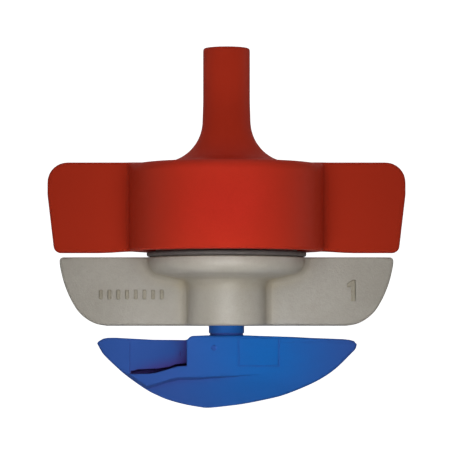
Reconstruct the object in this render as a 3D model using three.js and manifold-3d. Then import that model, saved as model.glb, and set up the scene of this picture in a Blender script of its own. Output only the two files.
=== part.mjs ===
// Bridgeless spinning micro-sprinkler head, hung stem-up from its supply socket.
// Water enters the stem, passes a flow-regulating diaphragm and a jet, runs down the hollow
// spindle and leaves sideways through the rotor blade, which spins below the housing.
//
// Units are millimetres. +Z is up, along the inlet stem. The origin is the centre of the
// stem's end face. X runs along the wings and Y through their thickness.

import * as THREE from "three";
import { mergeVertices } from "three/addons/utils/BufferGeometryUtils.js";
import Module from "manifold-3d";

const wasm = await Module();
wasm.setup();

// ---------------------------------------------------------------- driving dimensions

const SEAT_GAP = 0.08; // between pieces that touch on the real head
const OVERCUT = 2; // how far a cutting tool runs past the face that it opens

// Inlet cap: stem, flare, round shell and two flat wings.
const STEM_RADIUS = 3.05;
const STEM_LENGTH = 9.5; // the straight part, above the flare
const STEM_CHAMFER = 0.3;
const FLARE_RADIUS = 5.45;
const INLET_RADIUS = 1.7;
const CAP_RADIUS = 12.7;
const CAP_HEIGHT = 11.55;
const CAP_CROWN = 0.2; // how much lower the shell's rim is than the foot of the flare
const CAP_EDGE = 1.3; // rounding of the shell's upper rim
const CAP_WALL = 1.8;
const CAP_WING_THICK = 2.0;
const CAP_WING_REACH = 23.3; // half the span, near the top
const CAP_WING_STRAIGHT = 4.2; // height of the wing's end before it leans in
const CAP_WING_TAPER = 0.95; // how much shorter the wing is at its lower corner
const CAP_WING_DROOP = 0.24; // how far the wing reaches below the shell
const CAP_WING_DROOP_RUN = 4.1; // over which it gets there, out from the shell
const CAP_WING_ROOT = 0.5; // how far inside the shell the droop starts
const CAP_WING_TOP_ROUND = 2.6;
const CAP_WING_LOW_ROUND = 0.8;

// Housing: bowl, barrel, wings, and a collar that reaches up into the cap.
const JOINT_GAP = 0.8; // between the cap's lower face and the housing's upper face
const BOWL_RADIUS = 10.2;
const BOWL_DEPTH = 3.0; // from the top down to the underside's inner edge
const BOWL_SLOPE = 0.22; // rise of the underside towards its outer edge
const BOWL_ROUND = 0.7; // rounding of the bowl's lower edge
const BARREL_FILLET = 0.8; // under the bowl
const BARREL_EDGE = 0.3;
const BARREL_RADIUS = 5.3;
const HOUSING_HEIGHT = 8.9;
const HOUSING_WING_THICK = 1.8;
const HOUSING_WING_REACH = 21.7;
const COLLAR_RADIUS = 9.2;
const COLLAR_HEIGHT = 6.7;
const COLLAR_ROOT = 0.5; // how far the collar's solid reaches down into the bowl
const CHAMBER_RADIUS = 6.7;
const CHAMBER_DEPTH = 1.0; // below the housing's upper face

// Bayonet: two lugs on the collar over two ledges in the cap, opened by a quarter turn.
const LEDGE_THICK = 1.3;
const LEDGE_LIFT = 0.6; // ledge's lower face above the cap's lower face
const LEDGE_SPAN = 110; // degrees
const LUG_SPAN = 50; // degrees
const LUG_THICK = 1.2;
const LUG_PLAY = 0.2; // above the ledge
const RADIAL_PLAY = 0.3; // lug to shell, and ledge to collar
const BAYONET_TURN = 90; // degrees, locked to open
const STOP_SPAN = 4; // degrees

// Flow regulation.
const BOSS_OUTER = 7.0; // ring under the cap's top that clamps the diaphragm
const BOSS_INNER = 5.6;
const BOSS_DROP = 1.55;
const DIAPHRAGM_RADIUS = 7.3;
const DIAPHRAGM_RIM = 1.2; // thickness
const DIAPHRAGM_WEB = 0.6; // thickness
const DIAPHRAGM_HOLE = 1.0;
const NOZZLE_RADIUS = 7.6;
const NOZZLE_THICK = 2.0;
const JET_RADIUS = 0.65;
const NOSE_LENGTH = 2.4;

// Swivel: bush, thrust washer, spindle and blade.
const SHAFT_RADIUS = 2.3;
const SHAFT_PLAY = 0.08;
const BUSH_RADIUS = 3.5;
const BUSH_FLANGE_RADIUS = 4.4;
const BUSH_FLANGE_THICK = 0.6;
const WASHER_THICK = 0.6;
const SPINDLE_HEAD_RADIUS = 4.3;
const SPINDLE_HEAD_THICK = 1.25;
const FUNNEL_RADIUS = 2.4;
const WATERWAY_RADIUS = 0.9;
const NECK_LENGTH = 1.15; // the shaft that shows between the barrel and the blade
const PLUG_RADIUS = 1.6;
const PLUG_LENGTH = 4.0;
const PLUG_BEAD = 0.12; // how far the snap bead stands out
const PLUG_FLAT = 1.25; // the key flat's distance from the axis
const PORT_DROP = 2.4; // from the blade's top to the centre of the side port
const BLADE_HALF_THICK = 2.6;
const BLADE_TIP_HALF_THICK = 1.2;
const BLADE_REACH = 16.95;
const BLADE_DEPTH = 9.43;

// ---------------------------------------------------------------- derived levels

const CAP_TOP = -(STEM_LENGTH + FLARE_RADIUS);
const CAP_BOTTOM = CAP_TOP - CAP_HEIGHT;
const CAVITY_RADIUS = CAP_RADIUS - CAP_WALL;
const CAVITY_TOP = CAP_TOP - CAP_WALL;
const BOSS_BOTTOM = CAVITY_TOP - BOSS_DROP;

const HOUSING_TOP = CAP_BOTTOM - JOINT_GAP;
const HOUSING_BOTTOM = HOUSING_TOP - HOUSING_HEIGHT;
const COLLAR_TOP = HOUSING_TOP + COLLAR_HEIGHT;
const CHAMBER_FLOOR = HOUSING_TOP - CHAMBER_DEPTH;
const LEDGE_BOTTOM = CAP_BOTTOM + LEDGE_LIFT;
const LEDGE_TOP = LEDGE_BOTTOM + LEDGE_THICK;
const LUG_BOTTOM = LEDGE_TOP + LUG_PLAY;
const LUG_TOP = LUG_BOTTOM + LUG_THICK;

const DIAPHRAGM_TOP = BOSS_BOTTOM - SEAT_GAP;
const DIAPHRAGM_BOTTOM = DIAPHRAGM_TOP - DIAPHRAGM_RIM;
const NOZZLE_TOP = DIAPHRAGM_BOTTOM - SEAT_GAP;
const NOZZLE_BOTTOM = NOZZLE_TOP - NOZZLE_THICK;
const NOZZLE_SEAT = NOZZLE_BOTTOM - SEAT_GAP;

const BUSH_TOP = CHAMBER_FLOOR + SEAT_GAP + BUSH_FLANGE_THICK;
const WASHER_TOP = BUSH_TOP + SEAT_GAP + WASHER_THICK;
const HEAD_BOTTOM = WASHER_TOP + SEAT_GAP;
const HEAD_TOP = HEAD_BOTTOM + SPINDLE_HEAD_THICK;
const SHOULDER = HOUSING_BOTTOM - NECK_LENGTH;
const BLADE_TOP = SHOULDER - SEAT_GAP;
const PLUG_END = SHOULDER - PLUG_LENGTH;
const PORT_LEVEL = BLADE_TOP - PORT_DROP;

// ---------------------------------------------------------------- solids

// A closed three.js geometry as a solid that can be cut and joined.
function solidOf(geometry) {
  const bare = geometry.clone();
  bare.deleteAttribute("normal");
  bare.deleteAttribute("uv");
  const merged = mergeVertices(bare, 1e-4);
  return new wasm.Manifold(
    new wasm.Mesh({
      numProp: 3,
      vertProperties: merged.attributes.position.array,
      triVerts: new Uint32Array(merged.index.array),
    }),
  );
}

function geometryOf(solid) {
  const { vertProperties, triVerts } = solid.getMesh();
  const geometry = new THREE.BufferGeometry();
  geometry.setAttribute("position", new THREE.BufferAttribute(vertProperties, 3));
  geometry.setIndex(new THREE.BufferAttribute(triVerts, 1));
  const faceted = geometry.toNonIndexed();
  faceted.computeVertexNormals();
  return faceted;
}

function joined(first, ...others) {
  return others.reduce((whole, piece) => whole.add(piece), first);
}

function cut(first, ...tools) {
  return tools.reduce((whole, tool) => whole.subtract(tool), first);
}

// Turns a closed (radius, height) outline about the Z axis.
function turned(outline, segments) {
  const points = outline.map(([r, z]) => new THREE.Vector2(r, z));
  if (THREE.ShapeUtils.isClockWise(points)) points.reverse();
  points.push(points[0].clone());
  return solidOf(new THREE.LatheGeometry(points, segments).rotateX(Math.PI / 2));
}

function disc(radius, low, high, segments = 48) {
  return turned([[0, low], [radius, low], [radius, high], [0, high]], segments);
}

function tube(inner, outer, low, high, segments = 48) {
  return turned([[inner, low], [outer, low], [outer, high], [inner, high]], segments);
}

// A cylinder along X from x0 to x1 at height z.
function crossHole(radius, x0, x1, z) {
  const rod = new THREE.CylinderGeometry(radius, radius, x1 - x0, 24);
  return solidOf(rod.rotateZ(Math.PI / 2).translate((x0 + x1) / 2, 0, z));
}

// An (x, z) outline given thickness along Y, from y0 to y1.
function plate(shape, y0, y1) {
  const options = { depth: y1 - y0, bevelEnabled: false, curveSegments: 10 };
  const slab = new THREE.ExtrudeGeometry(shape, options);
  return solidOf(slab.rotateX(Math.PI / 2).translate(0, y1, 0));
}

// An (x, y) outline given height along Z.
function column(shape, low, high) {
  const options = { depth: high - low, bevelEnabled: false, curveSegments: 24 };
  return solidOf(new THREE.ExtrudeGeometry(shape, options).translate(0, 0, low));
}

// Part of a ring about the Z axis, centred on an angle in degrees.
function ringSector(inner, outer, low, high, centre, span) {
  const from = THREE.MathUtils.degToRad(centre - span / 2);
  const to = THREE.MathUtils.degToRad(centre + span / 2);
  const shape = new THREE.Shape();
  shape.absarc(0, 0, outer, from, to, false);
  shape.absarc(0, 0, inner, to, from, true);
  return column(shape, low, high);
}

// A quarter arc of [r, z] points about a centre, angles in degrees.
function arcPoints([cr, cz], radius, from, to, steps) {
  return Array.from({ length: steps + 1 }, (_, i) => {
    const angle = THREE.MathUtils.degToRad(from + ((to - from) * i) / steps);
    return [cr + radius * Math.cos(angle), cz + radius * Math.sin(angle)];
  });
}

function shapeThrough(points) {
  return new THREE.Shape(points.map(([x, y]) => new THREE.Vector2(x, y)));
}

// ---------------------------------------------------------------- inlet cap

function capWingOutline() {
  const top = CAP_TOP;
  const low = CAP_BOTTOM - CAP_WING_DROOP;
  const tip = CAP_WING_REACH;
  const foot = CAP_WING_REACH - CAP_WING_TAPER;
  const topRound = CAP_WING_TOP_ROUND;
  const lowRound = CAP_WING_LOW_ROUND;
  const side = [
    ...arcPoints([tip - topRound, top - topRound], topRound, 90, 0, 6),
    [tip, top - CAP_WING_STRAIGHT],
    ...arcPoints([foot - lowRound, low + lowRound], lowRound, 0, -90, 4),
    [CAP_RADIUS + CAP_WING_DROOP_RUN, low],
    [CAP_RADIUS - CAP_WING_ROOT, CAP_BOTTOM],
  ];
  const mirrored = side.map(([x, z]) => [-x, z]).reverse();
  return shapeThrough([...side, ...mirrored]);
}

function inletCap() {
  const rimCentre = [CAP_RADIUS - CAP_EDGE, CAP_TOP - CAP_CROWN - CAP_EDGE];
  const outside = turned(
    [
      [0, 0],
      [0, CAP_BOTTOM],
      [CAP_RADIUS, CAP_BOTTOM],
      ...arcPoints(rimCentre, CAP_EDGE, 0, 90, 4),
      ...arcPoints([STEM_RADIUS + FLARE_RADIUS, -STEM_LENGTH], FLARE_RADIUS, 270, 180, 8),
      [STEM_RADIUS, -STEM_CHAMFER],
      [STEM_RADIUS - STEM_CHAMFER, 0],
    ],
    64,
  );
  const wings = plate(capWingOutline(), -CAP_WING_THICK / 2, CAP_WING_THICK / 2);
  const shell = cut(
    joined(outside, wings),
    disc(INLET_RADIUS, CAVITY_TOP - OVERCUT, OVERCUT, 32),
    disc(CAVITY_RADIUS, CAP_BOTTOM - OVERCUT, CAVITY_TOP, 64),
  );
  const clampRing = tube(BOSS_INNER, BOSS_OUTER, BOSS_BOTTOM, CAVITY_TOP + CAP_WALL / 2);
  return joined(shell, clampRing, ...bayonetLedges());
}

// Two ledges that the lugs lie on, each with the stop that ends the lug's turn either way.
function bayonetLedges() {
  const inner = COLLAR_RADIUS + RADIAL_PLAY;
  const outer = CAVITY_RADIUS + CAP_WALL / 2;
  const lockedStop = LUG_SPAN / 2 + STOP_SPAN / 2 + 1.5;
  return [0, 180].flatMap((turn) => [
    ringSector(inner, outer, LEDGE_BOTTOM, LEDGE_TOP, turn, LEDGE_SPAN),
    ringSector(inner, outer, LEDGE_TOP - LEDGE_THICK / 2, LUG_TOP, turn + lockedStop, STOP_SPAN),
    ringSector(inner, outer, LEDGE_BOTTOM, LUG_TOP, turn - lockedStop - BAYONET_TURN, STOP_SPAN),
  ]);
}

// ---------------------------------------------------------------- housing

// One wing's outer edge runs down in a long curve; the other side mirrors it.
function housingWingOutline() {
  const shape = new THREE.Shape();
  const tip = HOUSING_WING_REACH;
  const top = HOUSING_TOP;
  const low = HOUSING_BOTTOM;
  const flatEnd = 15.2;
  const bellyX = 19.4;
  const bellyZ = low + 2.2;
  shape.moveTo(tip - 0.5, top);
  shape.quadraticCurveTo(tip, top, tip, top - 0.5);
  shape.quadraticCurveTo(tip - 0.35, top - 3.6, bellyX, bellyZ);
  shape.quadraticCurveTo(bellyX - 1.4, low, flatEnd, low);
  shape.lineTo(-flatEnd, low);
  shape.quadraticCurveTo(1.4 - bellyX, low, -bellyX, bellyZ);
  shape.quadraticCurveTo(0.35 - tip, top - 3.6, -tip, top - 0.5);
  shape.quadraticCurveTo(-tip, top, 0.5 - tip, top);
  return shape;
}

function housing() {
  const underside = (r) => HOUSING_TOP - BOWL_DEPTH + BOWL_SLOPE * (r - BARREL_RADIUS);
  const bowlEdge = underside(BOWL_RADIUS);
  const outside = turned(
    [
      [0, HOUSING_TOP],
      [BOWL_RADIUS, HOUSING_TOP],
      [BOWL_RADIUS, bowlEdge + BOWL_ROUND],
      [BOWL_RADIUS - 0.3 * BOWL_ROUND, bowlEdge + 0.3 * BOWL_ROUND],
      [BOWL_RADIUS - BOWL_ROUND, underside(BOWL_RADIUS - BOWL_ROUND)],
      [BARREL_RADIUS + BARREL_FILLET, underside(BARREL_RADIUS + BARREL_FILLET)],
      [BARREL_RADIUS, underside(BARREL_RADIUS) - BARREL_FILLET],
      [BARREL_RADIUS, HOUSING_BOTTOM + BARREL_EDGE],
      [BARREL_RADIUS - BARREL_EDGE, HOUSING_BOTTOM],
      [0, HOUSING_BOTTOM],
    ],
    64,
  );
  const wings = plate(housingWingOutline(), -HOUSING_WING_THICK / 2, HOUSING_WING_THICK / 2);
  const collar = disc(COLLAR_RADIUS, HOUSING_TOP - COLLAR_ROOT, COLLAR_TOP, 64);
  const body = cut(
    joined(outside, wings, collar),
    disc(NOZZLE_RADIUS + SEAT_GAP, NOZZLE_SEAT, COLLAR_TOP + OVERCUT, 64),
    disc(CHAMBER_RADIUS, CHAMBER_FLOOR, COLLAR_TOP + OVERCUT),
    disc(BUSH_RADIUS + SEAT_GAP, HOUSING_BOTTOM - OVERCUT, COLLAR_TOP, 40),
  );
  const lugs = [0, 180].map((turn) =>
    ringSector(
      COLLAR_RADIUS - 0.6,
      CAVITY_RADIUS - RADIAL_PLAY,
      LUG_BOTTOM,
      LUG_TOP,
      turn,
      LUG_SPAN,
    ),
  );
  return joined(body, ...lugs);
}

function sealRing() {
  return tube(
    COLLAR_RADIUS + SEAT_GAP,
    BOWL_RADIUS + 0.2,
    HOUSING_TOP + SEAT_GAP,
    CAP_BOTTOM - SEAT_GAP,
    64,
  );
}

// ---------------------------------------------------------------- flow regulation

function flowDiaphragm() {
  const webTop = DIAPHRAGM_TOP - (DIAPHRAGM_RIM - DIAPHRAGM_WEB) / 2;
  const webBottom = webTop - DIAPHRAGM_WEB;
  const webEdge = BOSS_INNER - 0.2;
  return turned(
    [
      [DIAPHRAGM_HOLE, webTop],
      [webEdge - 0.4, webTop],
      [webEdge, DIAPHRAGM_TOP],
      [DIAPHRAGM_RADIUS, DIAPHRAGM_TOP],
      [DIAPHRAGM_RADIUS, DIAPHRAGM_BOTTOM],
      [webEdge, DIAPHRAGM_BOTTOM],
      [webEdge - 0.4, webBottom],
      [DIAPHRAGM_HOLE, webBottom],
    ],
    40,
  );
}

// A jet plate: the dish lets the diaphragm flex down onto the raised seat round the jet.
function nozzleInsert() {
  const dishRadius = BOSS_INNER - 0.2;
  const dish = NOZZLE_TOP - 0.6;
  const seatTop = NOZZLE_TOP - 0.15;
  const seatRadius = 2.2;
  return turned(
    [
      [JET_RADIUS, seatTop],
      [seatRadius, seatTop],
      [seatRadius + 0.3, dish],
      [dishRadius - 0.4, dish],
      [dishRadius, NOZZLE_TOP],
      [NOZZLE_RADIUS, NOZZLE_TOP],
      [NOZZLE_RADIUS, NOZZLE_BOTTOM],
      [1.7, NOZZLE_BOTTOM],
      [1.2, NOZZLE_BOTTOM - NOSE_LENGTH],
      [JET_RADIUS, NOZZLE_BOTTOM - NOSE_LENGTH],
    ],
    40,
  );
}

// ---------------------------------------------------------------- swivel

function bearingBush() {
  const bore = SHAFT_RADIUS + SHAFT_PLAY;
  return turned(
    [
      [bore, BUSH_TOP],
      [BUSH_FLANGE_RADIUS, BUSH_TOP],
      [BUSH_FLANGE_RADIUS, CHAMBER_FLOOR + SEAT_GAP],
      [BUSH_RADIUS, CHAMBER_FLOOR + SEAT_GAP],
      [BUSH_RADIUS, HOUSING_BOTTOM + SEAT_GAP],
      [bore, HOUSING_BOTTOM + SEAT_GAP],
    ],
    40,
  );
}

function thrustWasher() {
  const inner = SHAFT_RADIUS + SHAFT_PLAY;
  return tube(inner, SPINDLE_HEAD_RADIUS - 0.1, BUSH_TOP + SEAT_GAP, WASHER_TOP, 40);
}

// Hollow down to its side window, with a snap bead and a key flat on the plug.
function spindle() {
  const outside = turned(
    [
      [0, HEAD_TOP],
      [SPINDLE_HEAD_RADIUS - 0.2, HEAD_TOP],
      [SPINDLE_HEAD_RADIUS, HEAD_TOP - 0.2],
      [SPINDLE_HEAD_RADIUS, HEAD_BOTTOM],
      [SHAFT_RADIUS, HEAD_BOTTOM],
      [SHAFT_RADIUS, SHOULDER],
      [PLUG_RADIUS, SHOULDER],
      [PLUG_RADIUS, PLUG_END + 0.9],
      [PLUG_RADIUS + PLUG_BEAD, PLUG_END + 0.7],
      [PLUG_RADIUS, PLUG_END + 0.4],
      [PLUG_RADIUS - 0.3, PLUG_END],
      [0, PLUG_END],
    ],
    40,
  );
  const waterway = turned(
    [
      [0, HEAD_TOP + OVERCUT],
      [FUNNEL_RADIUS, HEAD_TOP + OVERCUT],
      [FUNNEL_RADIUS, HEAD_TOP],
      [WATERWAY_RADIUS, HEAD_TOP - 1.5],
      [WATERWAY_RADIUS, PORT_LEVEL - WATERWAY_RADIUS],
      [0, PORT_LEVEL - WATERWAY_RADIUS],
    ],
    24,
  );
  const window = crossHole(WATERWAY_RADIUS - 0.1, -2 * PLUG_RADIUS, 0, PORT_LEVEL);
  return cut(outside, waterway, window, keyFlat(PLUG_FLAT));
}

// The blade's side view: a stepped top edge over a long, lopsided keel.
function bladeOutline() {
  const deck = BLADE_TOP;
  const keel = [
    [-16.8, deck - 1.05],
    [-15.9, deck - 2.6],
    [-12.9, deck - 5.3],
    [-10.5, deck - 7.0],
    [-9.0, deck - 7.8],
    [-7.4, deck - 8.45],
    [-5.2, deck - 9.05],
    [-2.4, deck - BLADE_DEPTH],
    [2.3, deck - 8.9],
    [7.2, deck - 7.8],
    [10.2, deck - 6.65],
    [14.2, deck - 4.3],
    [16.8, deck - 1.75],
  ];
  return shapeThrough([
    ...keel,
    [BLADE_REACH, deck - 1.05],
    [16.5, deck - 0.68],
    [15.4, deck - 0.53],
    [8.6, deck - 0.2],
    [2.0, deck],
    [-4.5, deck - 0.06],
    [-5.1, deck - 0.6],
    [-9.6, deck - 0.56],
    [-15.4, deck - 0.3],
    [-16.0, deck - 0.42],
  ]);
}

// The blade's plan: a long lens, thickest at the hub.
function bladePlan() {
  const bulge = BLADE_HALF_THICK - BLADE_TIP_HALF_THICK;
  const halfThick = (x) => BLADE_HALF_THICK - bulge * (x / BLADE_REACH) ** 2;
  const steps = Array.from({ length: 17 }, (_, i) => (BLADE_REACH + 0.05) * (i / 8 - 1));
  return shapeThrough([
    ...steps.map((x) => [x, -halfThick(x)]),
    ...steps.reverse().map((x) => [x, halfThick(x)]),
  ]);
}

// The blade's end view: straight sides that close in towards the keel.
function bladeSection() {
  const shape = shapeThrough([
    [-BLADE_HALF_THICK, BLADE_TOP + 1],
    [-BLADE_HALF_THICK, BLADE_TOP - 5.2],
    [-1.0, BLADE_TOP - 9.7],
    [1.0, BLADE_TOP - 9.7],
    [BLADE_HALF_THICK, BLADE_TOP - 5.2],
    [BLADE_HALF_THICK, BLADE_TOP + 1],
  ]);
  const length = 2 * BLADE_REACH + 2;
  const bar = new THREE.ExtrudeGeometry(shape, { depth: length, bevelEnabled: false });
  return solidOf(bar.rotateX(Math.PI / 2).rotateZ(Math.PI / 2).translate(-length / 2, 0, 0));
}

function rotorBlade() {
  const far = BLADE_HALF_THICK + 1;
  const high = BLADE_TOP + 1;
  const plan = column(bladePlan(), BLADE_TOP - 10, BLADE_TOP + 1);
  const hull = plate(bladeOutline(), -far, far).intersect(plan).intersect(bladeSection());

  // The spray channel: open at the front and top, its floor falling outwards.
  const channelSide = plate(
    shapeThrough([
      [-5.1, high],
      [-5.1, BLADE_TOP - 3.95],
      [-6.4, BLADE_TOP - 4.04],
      [-7.75, BLADE_TOP - 4.48],
      [-9.2, BLADE_TOP - 4.88],
      [-12.5, BLADE_TOP - 4.98],
      [-12.5, high],
    ]),
    -far,
    far,
  );
  const channelPlan = column(
    shapeThrough([
      [-4.5, -far],
      [-4.5, WATERWAY_RADIUS + 0.1],
      [-6.0, WATERWAY_RADIUS + 0.1],
      [-12.6, -1.2],
      [-12.6, -far],
    ]),
    BLADE_TOP - 6,
    high,
  );

  // The front of the keel, set back under the channel's ledge and fading out past the hub.
  const keelSide = plate(
    shapeThrough([
      [5.0, BLADE_TOP - 5.25],
      [-6.5, BLADE_TOP - 5.6],
      [-10.3, BLADE_TOP - 6.75],
      [-18, BLADE_TOP - 8.5],
      [-18, BLADE_TOP - 11],
      [5.0, BLADE_TOP - 11],
    ]),
    -far,
    far,
  );
  const keelPlan = column(
    shapeThrough([
      [-18, -far],
      [5.0, -far],
      [5.0, -BLADE_HALF_THICK],
      [-12, -1.2],
      [-18, -1.2],
    ]),
    BLADE_TOP - 12,
    BLADE_TOP,
  );

  const pocket = plate(
    shapeThrough([
      [2.6, BLADE_TOP - 1.1],
      [6.8, BLADE_TOP - 1.1],
      [6.8, BLADE_TOP - 3.9],
      [2.6, BLADE_TOP - 3.9],
    ]),
    -0.4,
    far,
  );
  const port = crossHole(WATERWAY_RADIUS, -6, 0, PORT_LEVEL);
  return cut(
    hull,
    channelSide.intersect(channelPlan),
    keelSide.intersect(keelPlan),
    pocket,
    plugSocket(),
    port,
  );
}

// The blind hole for the spindle's plug: a groove for its bead and a flat for its key.
function plugSocket() {
  const radius = PLUG_RADIUS + SEAT_GAP;
  const groove = PLUG_BEAD + 0.03;
  const floor = PLUG_END - SEAT_GAP;
  const bore = turned(
    [
      [0, BLADE_TOP + OVERCUT],
      [radius, BLADE_TOP + OVERCUT],
      [radius, PLUG_END + 1.0],
      [radius + groove, PLUG_END + 0.8],
      [radius + groove, PLUG_END + 0.6],
      [radius, PLUG_END + 0.3],
      [radius, floor],
      [0, floor],
    ],
    40,
  );
  return bore.subtract(keyFlat(PLUG_FLAT + SEAT_GAP));
}

// What the key flat takes off the plug, and leaves standing in the socket.
function keyFlat(distance) {
  const outline = shapeThrough([
    [-3, PLUG_END - 1],
    [3, PLUG_END - 1],
    [3, SHOULDER],
    [-3, SHOULDER],
  ]);
  return plate(outline, distance, distance + 2);
}

// ---------------------------------------------------------------- assembly

function plastic(color, roughness) {
  return new THREE.MeshStandardMaterial({ color, roughness, metalness: 0 });
}

const red = plastic(0x96281a, 0.4);
const grey = plastic(0x9c978d, 0.6);
const blue = plastic(0x23599f, 0.45);
const blackRubber = plastic(0x24272a, 0.75);
const silicone = plastic(0xc8c4b8, 0.5);
const white = plastic(0xe6e4dc, 0.45);

function piece(name, solid, material) {
  const mesh = new THREE.Mesh(geometryOf(solid), material);
  mesh.name = name;
  return mesh;
}

const capGroup = new THREE.Group();
capGroup.add(piece("inlet_cap", inletCap(), red));

const housingGroup = new THREE.Group();
housingGroup.add(
  piece("housing", housing(), grey),
  piece("seal_ring", sealRing(), blackRubber),
  piece("flow_diaphragm", flowDiaphragm(), silicone),
  piece("nozzle_insert", nozzleInsert(), red),
  piece("bearing_bush", bearingBush(), white),
);

const swivelGroup = new THREE.Group();
swivelGroup.add(
  piece("thrust_washer", thrustWasher(), white),
  piece("spindle", spindle(), blue),
  piece("rotor_blade", rotorBlade(), blue),
);

const sprinklerHead = new THREE.Group();
sprinklerHead.add(capGroup, housingGroup, swivelGroup);

export default sprinklerHead;
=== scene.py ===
"""Looks of the hanging micro-sprinkler head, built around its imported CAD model.

Every moulding is described as a signed distance field in millimetres, with its fillets and edge
rounds. The field is meshed, the mesh is moved onto the exact surface, and it is shaded with the
field's own normals. Lengths are millimetres up to the point where a mesh is made, and metres in
Blender. The last number given to fillet, meet, cut and ring is always the radius of an edge, and
a factor under 1 on a slanted face brings its field back close to a true distance.
"""

import math

import bpy
import numpy as np
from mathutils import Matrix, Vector


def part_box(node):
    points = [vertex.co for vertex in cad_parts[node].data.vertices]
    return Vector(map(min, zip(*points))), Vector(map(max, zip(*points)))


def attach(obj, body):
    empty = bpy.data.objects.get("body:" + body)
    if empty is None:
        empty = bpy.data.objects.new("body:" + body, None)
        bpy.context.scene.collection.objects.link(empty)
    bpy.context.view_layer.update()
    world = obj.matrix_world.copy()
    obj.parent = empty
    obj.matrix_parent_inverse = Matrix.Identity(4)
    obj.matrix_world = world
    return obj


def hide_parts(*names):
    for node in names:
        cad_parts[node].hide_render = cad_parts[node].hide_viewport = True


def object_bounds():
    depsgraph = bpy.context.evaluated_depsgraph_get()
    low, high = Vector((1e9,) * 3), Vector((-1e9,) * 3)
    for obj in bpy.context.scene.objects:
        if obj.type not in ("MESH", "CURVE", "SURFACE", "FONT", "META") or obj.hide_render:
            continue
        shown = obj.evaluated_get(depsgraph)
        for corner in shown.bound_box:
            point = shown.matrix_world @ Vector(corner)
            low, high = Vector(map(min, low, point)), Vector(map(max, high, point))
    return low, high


MM = 0.001

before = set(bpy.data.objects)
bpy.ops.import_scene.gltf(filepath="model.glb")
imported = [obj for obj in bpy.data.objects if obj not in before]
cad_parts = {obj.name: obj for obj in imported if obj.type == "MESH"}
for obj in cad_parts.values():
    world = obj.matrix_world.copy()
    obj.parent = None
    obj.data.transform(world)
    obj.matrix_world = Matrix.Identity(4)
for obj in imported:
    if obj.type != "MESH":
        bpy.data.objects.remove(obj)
cad_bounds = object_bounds()


def corners(node):
    """A CAD node's lowest and highest corners, in millimetres."""
    return [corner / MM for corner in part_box(node)]


# ------------------------------------------------------------------ sizes read from the frame

cap_low, cap_high = corners("inlet_cap")
housing_low, housing_high = corners("housing")
seal_low, seal_high = corners("seal_ring")
diaphragm_low, diaphragm_high = corners("flow_diaphragm")
nozzle_low, nozzle_high = corners("nozzle_insert")
bush_low, bush_high = corners("bearing_bush")
washer_low, washer_high = corners("thrust_washer")
spindle_low, spindle_high = corners("spindle")
blade_low, blade_high = corners("rotor_blade")

# ------------------------------------------------------------------ fields


def length(*parts):
    """Length of a vector given by its parts."""
    return np.sqrt(sum(part * part for part in parts))


def fillet(a, b, radius):
    """Union of two fields with a round fillet where they meet."""
    near = length(np.maximum(radius - a, 0), np.maximum(radius - b, 0))
    return np.maximum(radius, np.minimum(a, b)) - near


def meet(a, b, radius):
    """Intersection of two fields with a round edge where they meet."""
    near = length(np.maximum(radius + a, 0), np.maximum(radius + b, 0))
    return np.minimum(-radius, np.maximum(a, b)) + near


def cut(a, b, radius):
    """The first field without the second, with a round edge where they meet."""
    return meet(a, -b, radius)


def slab(value, low, high):
    """Distance to the space between two levels."""
    return np.maximum(low - value, value - high)


def ring(r, z, inner, outer, low, high, radius):
    """A turned ring, or a disc when inner is below zero, with round edges."""
    across = np.abs(r - (inner + outer) / 2) - (outer - inner) / 2 + radius
    along = np.abs(z - (low + high) / 2) - (high - low) / 2 + radius
    outside = length(np.maximum(across, 0), np.maximum(along, 0))
    return outside + np.minimum(np.maximum(across, along), 0) - radius


def outline(points, u, v):
    """Signed distance to a closed outline in the plane of u and v."""
    nearest = np.float32(np.inf)
    inside = np.zeros(np.broadcast(u, v).shape, bool)
    for (au, av), (bu, bv) in zip(points, points[1:] + points[:1]):
        du, dv = bu - au, bv - av
        share = np.clip(((u - au) * du + (v - av) * dv) / (du * du + dv * dv), 0, 1)
        gap_u = u - au - share * du
        gap_v = v - av - share * dv
        nearest = np.minimum(nearest, gap_u * gap_u + gap_v * gap_v)
        if dv:
            inside ^= ((av > v) != (bv > v)) & (u < du * (v - av) / dv + au)
    distance = np.sqrt(nearest)
    return np.where(inside, -distance, distance)


def arc(centre_u, centre_v, radius, start, end, steps=8):
    """Points along an arc between two angles in degrees."""
    angles = np.radians(np.linspace(start, end, steps + 1))
    return [
        (centre_u + radius * math.cos(a), centre_v + radius * math.sin(a)) for a in angles
    ]


def smooth_curve(points, steps=5):
    """A Catmull-Rom curve through the points."""
    p = np.array([points[0], *points, points[-1]], float)
    curve = []
    for i in range(1, len(p) - 2):
        for t in np.arange(steps) / steps:
            curve.append(
                0.5
                * (
                    2 * p[i]
                    + (p[i + 1] - p[i - 1]) * t
                    + (2 * p[i - 1] - 5 * p[i] + 4 * p[i + 1] - p[i + 2]) * t**2
                    + (3 * p[i] - p[i - 1] - 3 * p[i + 1] + p[i + 2]) * t**3
                )
            )
    return [tuple(q) for q in curve] + [tuple(points[-1])]


def ease(value, low, high):
    """0 below low, 1 above high, smooth between."""
    t = np.clip((value - low) / (high - low), 0, 1)
    return t * t * (3 - 2 * t)


# ------------------------------------------------------------------ meshing

GRID_MARGIN = 1.7
RELAX_ROUNDS = 3
RELAX_SHARE = 0.6
SLOPE_REACH = 0.02
LEAST_SLOPE_SQUARED = 0.05
TINY = 1e-9


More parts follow.
